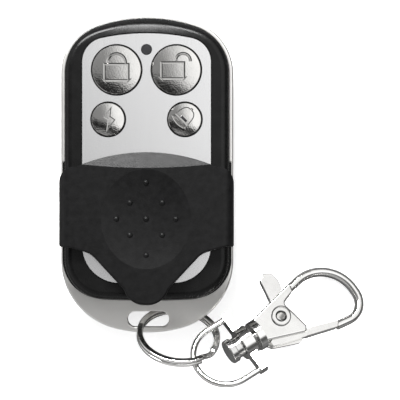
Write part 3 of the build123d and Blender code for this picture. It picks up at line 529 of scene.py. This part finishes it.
# %% Laying a sign on its cap
def lay_on_cap(sign, key, finish):
    """Move a flat sign onto the dome of its cap, keeping the object at the origin."""
    x, y, crown, radius = cap_of(key)
    for corner in sign.data.vertices:
        reach = corner.co.xy.length / radius
        corner.co.z -= sign_foot + cap_rise * reach**2
        corner.co += Vector((x, y, crown))
    start_piece()
    sign.select_set(True)
    bpy.context.view_layer.objects.active = sign
    bpy.ops.object.shade_smooth_by_angle(angle=smooth_below)
    sign.data.materials.append(finish)
    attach(sign, f"{key}_key")


# %% [markdown]
# ### The padlocks
#
# The body is a plane with its two lower corners rounded, raised at its edge. The
# shackle is a small face at the foot of one leg, spun half a turn round the middle of the
# body's top edge. The open padlock is the same lock, with the shackle moved over to the
# right, so that only its left leg reaches the body.

# %% A padlock's body
lock_corner_radius = 0.22 * mm


def lock_body(name, left, right, bottom, top):
    """A rectangular raised block with rounded lower corners."""
    start_piece()
    bpy.ops.mesh.primitive_plane_add(size=1.0, enter_editmode=True)
    bpy.ops.transform.resize(value=(right - left, top - bottom, 1.0))
    middle = ((left + right) / 2, (bottom + top) / 2, 0.0)
    bpy.ops.transform.translate(value=middle)
    pick(lambda place: place.y < middle[1], kind="VERT")
    bpy.ops.mesh.bevel(offset=lock_corner_radius, segments=3, affect="VERTICES")
    pick(lambda face: True)
    raise_outline(flank, edge_only=True)
    close_outline()
    split_for_dome(5)
    return name_piece(name)


# %% A padlock's shackle
shackle_band = 0.58 * mm
weld_distance = 0.005 * mm


def lock_shackle(name, middle_x, foot_y, outer_radius, leg):
    """A band bent through half a turn, with sloped flanks and short straight legs."""
    start_piece()
    bpy.ops.mesh.primitive_plane_add(size=1.0, enter_editmode=True)
    bpy.ops.transform.resize(value=(shackle_band, leg, 1.0))
    lower_middle = middle_x + outer_radius - shackle_band / 2
    bpy.ops.transform.translate(value=(lower_middle, foot_y - leg / 2, 0.0))
    pick(lambda ends: min(end.y for end in ends) > foot_y - 0.01 * leg, kind="EDGE")
    bpy.ops.mesh.spin(
        steps=24, angle=pi, center=(middle_x, foot_y, 0.0), axis=(0.0, 0.0, -1.0), dupli=False
    )
    bpy.ops.mesh.extrude_region_move(TRANSFORM_OT_translate={"value": (0, -leg, 0)})
    bpy.ops.mesh.select_all(action="SELECT")
    bpy.ops.mesh.remove_doubles(threshold=weld_distance)
    bpy.ops.mesh.normals_make_consistent(inside=False)
    pick(lambda face: True)
    raise_outline(flank)
    close_outline()
    return name_piece(name)


# %% [markdown]
# Before anything is laid on a cap, the flat signs are measured: a spin that turned the
# wrong way shows at once as a box that hangs below the body.

# %% The closed and the open padlock
def join_into(name, *parts):
    """Join pieces into the first one and give it a name."""
    start_piece()
    for part in parts:
        part.select_set(True)
    bpy.context.view_layer.objects.active = parts[0]
    bpy.ops.object.join()
    piece = bpy.context.object
    piece.name = name
    piece.data.name = name
    return piece


def measure(piece):
    """Print a piece's size in millimetres."""
    low = [min(v.co[i] for v in piece.data.vertices) / mm for i in range(3)]
    high = [max(v.co[i] for v in piece.data.vertices) / mm for i in range(3)]
    print(piece.name, "from", [round(v, 2) for v in low], "to", [round(v, 2) for v in high])


closed_body = lock_body("closed_body", -2.46 * mm, 2.44 * mm, -2.24 * mm, 1.25 * mm)
closed_shackle = lock_shackle("closed_shackle", 0.0, 1.30 * mm, 1.96 * mm, 0.25 * mm)
closed_lock = join_into("lock_sign", closed_body, closed_shackle)
measure(closed_lock)
lay_on_cap(closed_lock, "lock", cap_chrome)

open_body = lock_body("open_body", -3.0 * mm, 1.66 * mm, -1.9 * mm, 1.55 * mm)
open_shackle = lock_shackle("open_shackle", 1.25 * mm, 1.66 * mm, 1.64 * mm, 0.14 * mm)
open_lock = join_into("unlock_sign", open_body, open_shackle)
measure(open_lock)
lay_on_cap(open_lock, "unlock", cap_chrome)

# %% [markdown]
# ### The lightning bolt
#
# Six corners make a bolt. The piece starts as a six-sided disc, and each corner is then
# moved to its own place, as with a mouse. The face is raised like the others, with a
# narrower flank because the tips are thin.

# %% The bolt
bolt_corners = [
    (0.68 * mm, 2.47 * mm),
    (0.47 * mm, 0.55 * mm),
    (1.37 * mm, -0.10 * mm),
    (-0.37 * mm, -2.47 * mm),
    (-0.05 * mm, -0.14 * mm),
    (-0.87 * mm, 0.29 * mm),
]


def flat_outline(corners):
    """A flat face with the given corners, made from a disc with as many sides."""
    start_piece()
    bpy.ops.mesh.primitive_circle_add(
        vertices=len(corners), radius=mm, fill_type="NGON", enter_editmode=True
    )
    bpy.ops.object.mode_set(mode="OBJECT")
    mesh = bpy.context.object.data
    for corner, (x, y) in zip(mesh.vertices, corners):
        corner.co = (x, y, 0.0)
    bpy.ops.object.mode_set(mode="EDIT")
    bpy.ops.mesh.select_all(action="SELECT")
    bpy.ops.mesh.normals_make_consistent(inside=False)


flat_outline(bolt_corners)
raise_outline(narrow_flank)
close_outline()
split_for_dome(3)
bolt_sign = name_piece("bolt_sign")
measure(bolt_sign)
lay_on_cap(bolt_sign, "bolt", cap_chrome)

# %% [markdown]
# ### The bell
#
# The bell hangs tilted, mouth to the lower left. Its side view is a knob, a dome and a
# flared skirt: half the outline is a short list of sizes, mirrored to the other side. The
# lip below it is a crescent with a raised edge, and the clapper is a bar just above the
# mouth in the dark lens finish, as painted shade for the notch there.

# %% The bell
bell_half = [
    (0.20 * mm, 2.40 * mm),
    (0.24 * mm, 2.14 * mm),
    (0.62 * mm, 2.08 * mm),
    (0.90 * mm, 1.94 * mm),
    (1.17 * mm, 1.66 * mm),
    (1.37 * mm, 1.28 * mm),
    (1.50 * mm, 0.75 * mm),
    (1.58 * mm, 0.10 * mm),
    (1.66 * mm, -0.60 * mm),
]
bell_tilt = radians(-45.0)
bell_shift = (-0.26 * mm, 0.26 * mm)
lip_line = -0.74 * mm
lip_half_length = 1.62 * mm
lip_sag_start = -1.22 * mm
lip_sag = 0.50 * mm
lip_flare = 0.30 * mm
lip_steps = 12


def tilt_bell():
    """Turn all that is selected into the bell's tilt and move it to its place."""
    bpy.ops.mesh.select_all(action="SELECT")
    bpy.ops.transform.rotate(
        value=-bell_tilt, orient_axis="Z", center_override=(0.0, 0.0, 0.0)
    )
    bpy.ops.transform.translate(value=(*bell_shift, 0.0))


flat_outline([(-x, y) for x, y in reversed(bell_half)] + bell_half)
raise_outline(narrow_flank)
close_outline()
split_for_dome(2)
tilt_bell()
bell_dome = name_piece("bell_dome")

# %% The bell's lip
lip_corners = [(-lip_half_length, lip_line), (lip_half_length, lip_line)]
for step in range(lip_steps + 1):
    share = 1.0 - 2.0 * step / lip_steps
    reach = (lip_half_length + lip_flare) * share
    lip_corners.append((reach, lip_sag_start - lip_sag * (1.0 - share**2)))
flat_outline(lip_corners)
raise_outline(narrow_flank, edge_only=True)
close_outline()
split_for_dome(2)
tilt_bell()
bell_lip = name_piece("bell_lip")
bell_sign = join_into("bell_sign", bell_dome, bell_lip)
measure(bell_sign)
lay_on_cap(bell_sign, "bell", cap_chrome)

# %% The bell's clapper, a dark bar of painted shade
clapper_height = sign_foot + narrow_flank * flank_slope + 0.03 * mm
clapper_size = Vector((1.45 * mm, 0.46 * mm, clapper_height))
clapper_middle = Vector((0.20 * mm, -0.10 * mm, clapper_size.z / 2))
start_piece()
bpy.ops.mesh.primitive_cube_add(size=1.0, enter_editmode=True)
bpy.ops.transform.resize(value=clapper_size)
bpy.ops.transform.translate(value=clapper_middle)
bpy.ops.mesh.bevel(offset=0.05 * mm, segments=2, affect="EDGES")
tilt_bell()
clapper_shade_bar = name_piece("bell_clapper_shade")
measure(clapper_shade_bar)
# The clapper takes the dark lens finish as painted shade in the bell's notch.
lay_on_cap(clapper_shade_bar, "bell", lens_dark)

# %% [markdown]
# ## The studio
#
# The remote lies on a white table under one big soft light, as in a product photograph.
# Metal shows nothing but its surroundings, so what stands round the table matters more
# than the lamps. Near the horizon the room is white at the lower left and dark at the
# upper right. Overhead it is the other way round: the big light brightens to the right,
# past a dark card for the slopes that lean to the lower left, with a pale wall behind it.
# Only glossy rays see this room. Diffuse surfaces get an even grey, and the camera white.

# %% The table
table_width = 1.6
start_piece()
bpy.ops.mesh.primitive_plane_add(size=table_width, enter_editmode=True)
bpy.ops.mesh.subdivide(number_cuts=3)
table = name_piece("table")
table_top = finish_of("table_top", specular=0.2)
vary_colour(table_top, speckle, 40.0, (0.90, 0.90, 0.90), (0.92, 0.92, 0.92))
shader = table_top.node_tree.nodes["Principled BSDF"]
shader.inputs["Roughness"].default_value = 0.7
table.data.materials.append(table_top)

# %% Make the table white to the camera and dark in reflections
table_glow = 0.60
table_in_mirrors = (0.12, 0.12, 0.12, 1.0)
tree = table_top.node_tree
paths = tree.nodes.new("ShaderNodeLightPath")
glow = tree.nodes.new("ShaderNodeMath")
glow.operation = "MULTIPLY"
glow.inputs[1].default_value = table_glow
tree.links.new(paths.outputs["Is Camera Ray"], glow.inputs[0])
shade = tree.nodes.new("ShaderNodeMix")
shade.data_type = "RGBA"
shade.inputs["B"].default_value = table_in_mirrors
tree.links.new(paths.outputs["Is Glossy Ray"], shade.inputs["Factor"])
tree.links.new(shader.inputs["Base Color"].links[0].from_socket, shade.inputs["A"])
tree.links.new(shade.outputs["Result"], shader.inputs["Base Color"])
shader.inputs["Emission Color"].default_value = (1.0, 1.0, 1.0, 1.0)
tree.links.new(glow.outputs[0], shader.inputs["Emission Strength"])

# %% Helpers for the room that metal reflects
world = bpy.data.worlds.new("studio")
bpy.context.scene.world = world
world.use_nodes = True
tree = world.node_tree
tree.nodes.clear()
direction = tree.nodes.new("ShaderNodeTexCoord")
split = tree.nodes.new("ShaderNodeSeparateXYZ")
tree.links.new(direction.outputs["Generated"], split.inputs["Vector"])


def towards(angle):
    """A node whose value grows towards one compass direction, given from +X."""
    dot = tree.nodes.new("ShaderNodeVectorMath")
    dot.operation = "DOT_PRODUCT"
    dot.inputs[1].default_value = (cos(radians(angle)), sin(radians(angle)), 0.0)
    tree.links.new(direction.outputs["Generated"], dot.inputs[0])
    return dot.outputs["Value"]


def ramp(value, from_low, from_high, to_low, to_high):
    """A smooth step from one brightness to another."""
    step = tree.nodes.new("ShaderNodeMapRange")
    step.interpolation_type = "SMOOTHSTEP"
    for label, number in (
        ("From Min", from_low),
        ("From Max", from_high),
        ("To Min", to_low),
        ("To Max", to_high),
    ):
        step.inputs[label].default_value = number
    tree.links.new(value, step.inputs["Value"])
    return step.outputs["Result"]


def combine(operation, first, second):
    """One brightness from two."""
    node = tree.nodes.new("ShaderNodeMath")
    node.operation = operation
    tree.links.new(first, node.inputs[0])
    tree.links.new(second, node.inputs[1])
    return node.outputs["Value"]


# %% Overhead: the big light, its lower edge, two dark cards and the pale wall
light_side = 15.0
right_card_side = 305.0
lower_left = 250.0
big_light = ramp(towards(light_side), -0.20, 0.30, 0.34, 1.44)
lower_edge = ramp(split.outputs["Z"], 0.66, 0.84, 0.72, 1.0)
big_light = combine("MULTIPLY", big_light, lower_edge)
right_card = ramp(towards(right_card_side), 0.40, 0.62, 1.0, 0.12)
big_light = combine("MULTIPLY", big_light, right_card)
dark_card = ramp(towards(lower_left), 0.09, 0.15, 1.0, 0.05)
far_wall = ramp(towards(lower_left), 0.30, 0.42, 0.0, 0.44)
overhead = combine("MAXIMUM", combine("MULTIPLY", big_light, dark_card), far_wall)

# %% Near the horizon, and the step from there to overhead
dark_corner = 45.0
around = ramp(towards(dark_corner), -0.45, 0.35, 0.85, 0.10)
height = ramp(split.outputs["Z"], 0.42, 0.56, 0.0, 1.0)
blend = tree.nodes.new("ShaderNodeMix")
tree.links.new(height, blend.inputs["Factor"])
tree.links.new(around, blend.inputs["A"])
tree.links.new(overhead, blend.inputs["B"])

# %% Which rays see the room
paths = tree.nodes.new("ShaderNodeLightPath")
even_light = 0.60
white = 1.0
for_glossy = tree.nodes.new("ShaderNodeMix")
for_glossy.inputs["A"].default_value = even_light
tree.links.new(paths.outputs["Is Glossy Ray"], for_glossy.inputs["Factor"])
tree.links.new(blend.outputs["Result"], for_glossy.inputs["B"])
for_camera = tree.nodes.new("ShaderNodeMix")
for_camera.inputs["B"].default_value = white
tree.links.new(paths.outputs["Is Camera Ray"], for_camera.inputs["Factor"])
tree.links.new(for_glossy.outputs["Result"], for_camera.inputs["A"])
background = tree.nodes.new("ShaderNodeBackground")
background.inputs["Color"].default_value = (1.0, 1.0, 1.0, 1.0)
tree.links.new(for_camera.outputs["Result"], background.inputs["Strength"])
output = tree.nodes.new("ShaderNodeOutputWorld")
tree.links.new(background.outputs["Background"], output.inputs["Surface"])

# %% [markdown]
# Two lamps hang beyond the head of the fob, a little to its left. The key light gives the
# soft shading and the shadow, and no mirror shows it. The head box is the opposite: a wide
# strip that only shows in gloss. The cover's bevel, the lower half of the thumb dish and
# the shell's crown lean towards it, so they stand out from the rest of the black.

# %% The two lamps, in metres and watts
cover_middle = Vector((0.0, -5.0 * mm, 8.0 * mm))
key_place = Vector((-0.12, 0.38, 0.30))
key_width = 0.22
key_power = 7.0
box_place = Vector((-0.162, 0.499, 0.464))
box_width = 0.54
box_height = 0.155
box_power = 10.0


def hang_lamp(name, place, width, height, power):
    """A rectangular lamp that faces the cover."""
    lamp = bpy.data.lights.new(name, "AREA")
    lamp.shape = "RECTANGLE"
    lamp.size = width
    lamp.size_y = height
    lamp.energy = power
    light = bpy.data.objects.new(name, lamp)
    bpy.context.collection.objects.link(light)
    light.location = place
    light.rotation_euler = (cover_middle - place).to_track_quat("-Z", "Y").to_euler()
    return light


key_light = hang_lamp("key_light", key_place, key_width, key_width, key_power)
key_light.visible_glossy = False
head_box = hang_lamp("head_box", box_place, box_width, box_height, box_power)
head_box.visible_diffuse = False

# %% [markdown]
# ## The camera
#
# The photograph looks straight down from a fair distance with a long lens. At the level of
# the shell one millimetre is 5.33 pixels of the 400, which fixes the width of the view,
# and the middle of the picture fixes where the camera stands.

# %% The camera
image_width = 400
pixels_per_mm = 5.33
fob_middle_pixel = Vector((147.0, 173.9))
focus_height = 8.0 * mm
view_width = image_width / pixels_per_mm * mm
camera_data = bpy.data.cameras.new("camera")
camera_data.lens = 120.0
camera_data.sensor_width = 36.0
camera_data.clip_start = 10.0 * mm
distance = view_width * camera_data.lens / camera_data.sensor_width
camera = bpy.data.objects.new("camera", camera_data)
bpy.context.collection.objects.link(camera)
middle = Vector((image_width / 2, image_width / 2))
offset = (middle - fob_middle_pixel) / pixels_per_mm * mm
camera.location = (offset.x, -offset.y, focus_height + distance)
bpy.context.scene.camera = camera
bpy.context.scene.view_settings.view_transform = "Standard"
print("camera at", [round(v / mm, 1) for v in camera.location], "view", round(view_width / mm, 1))
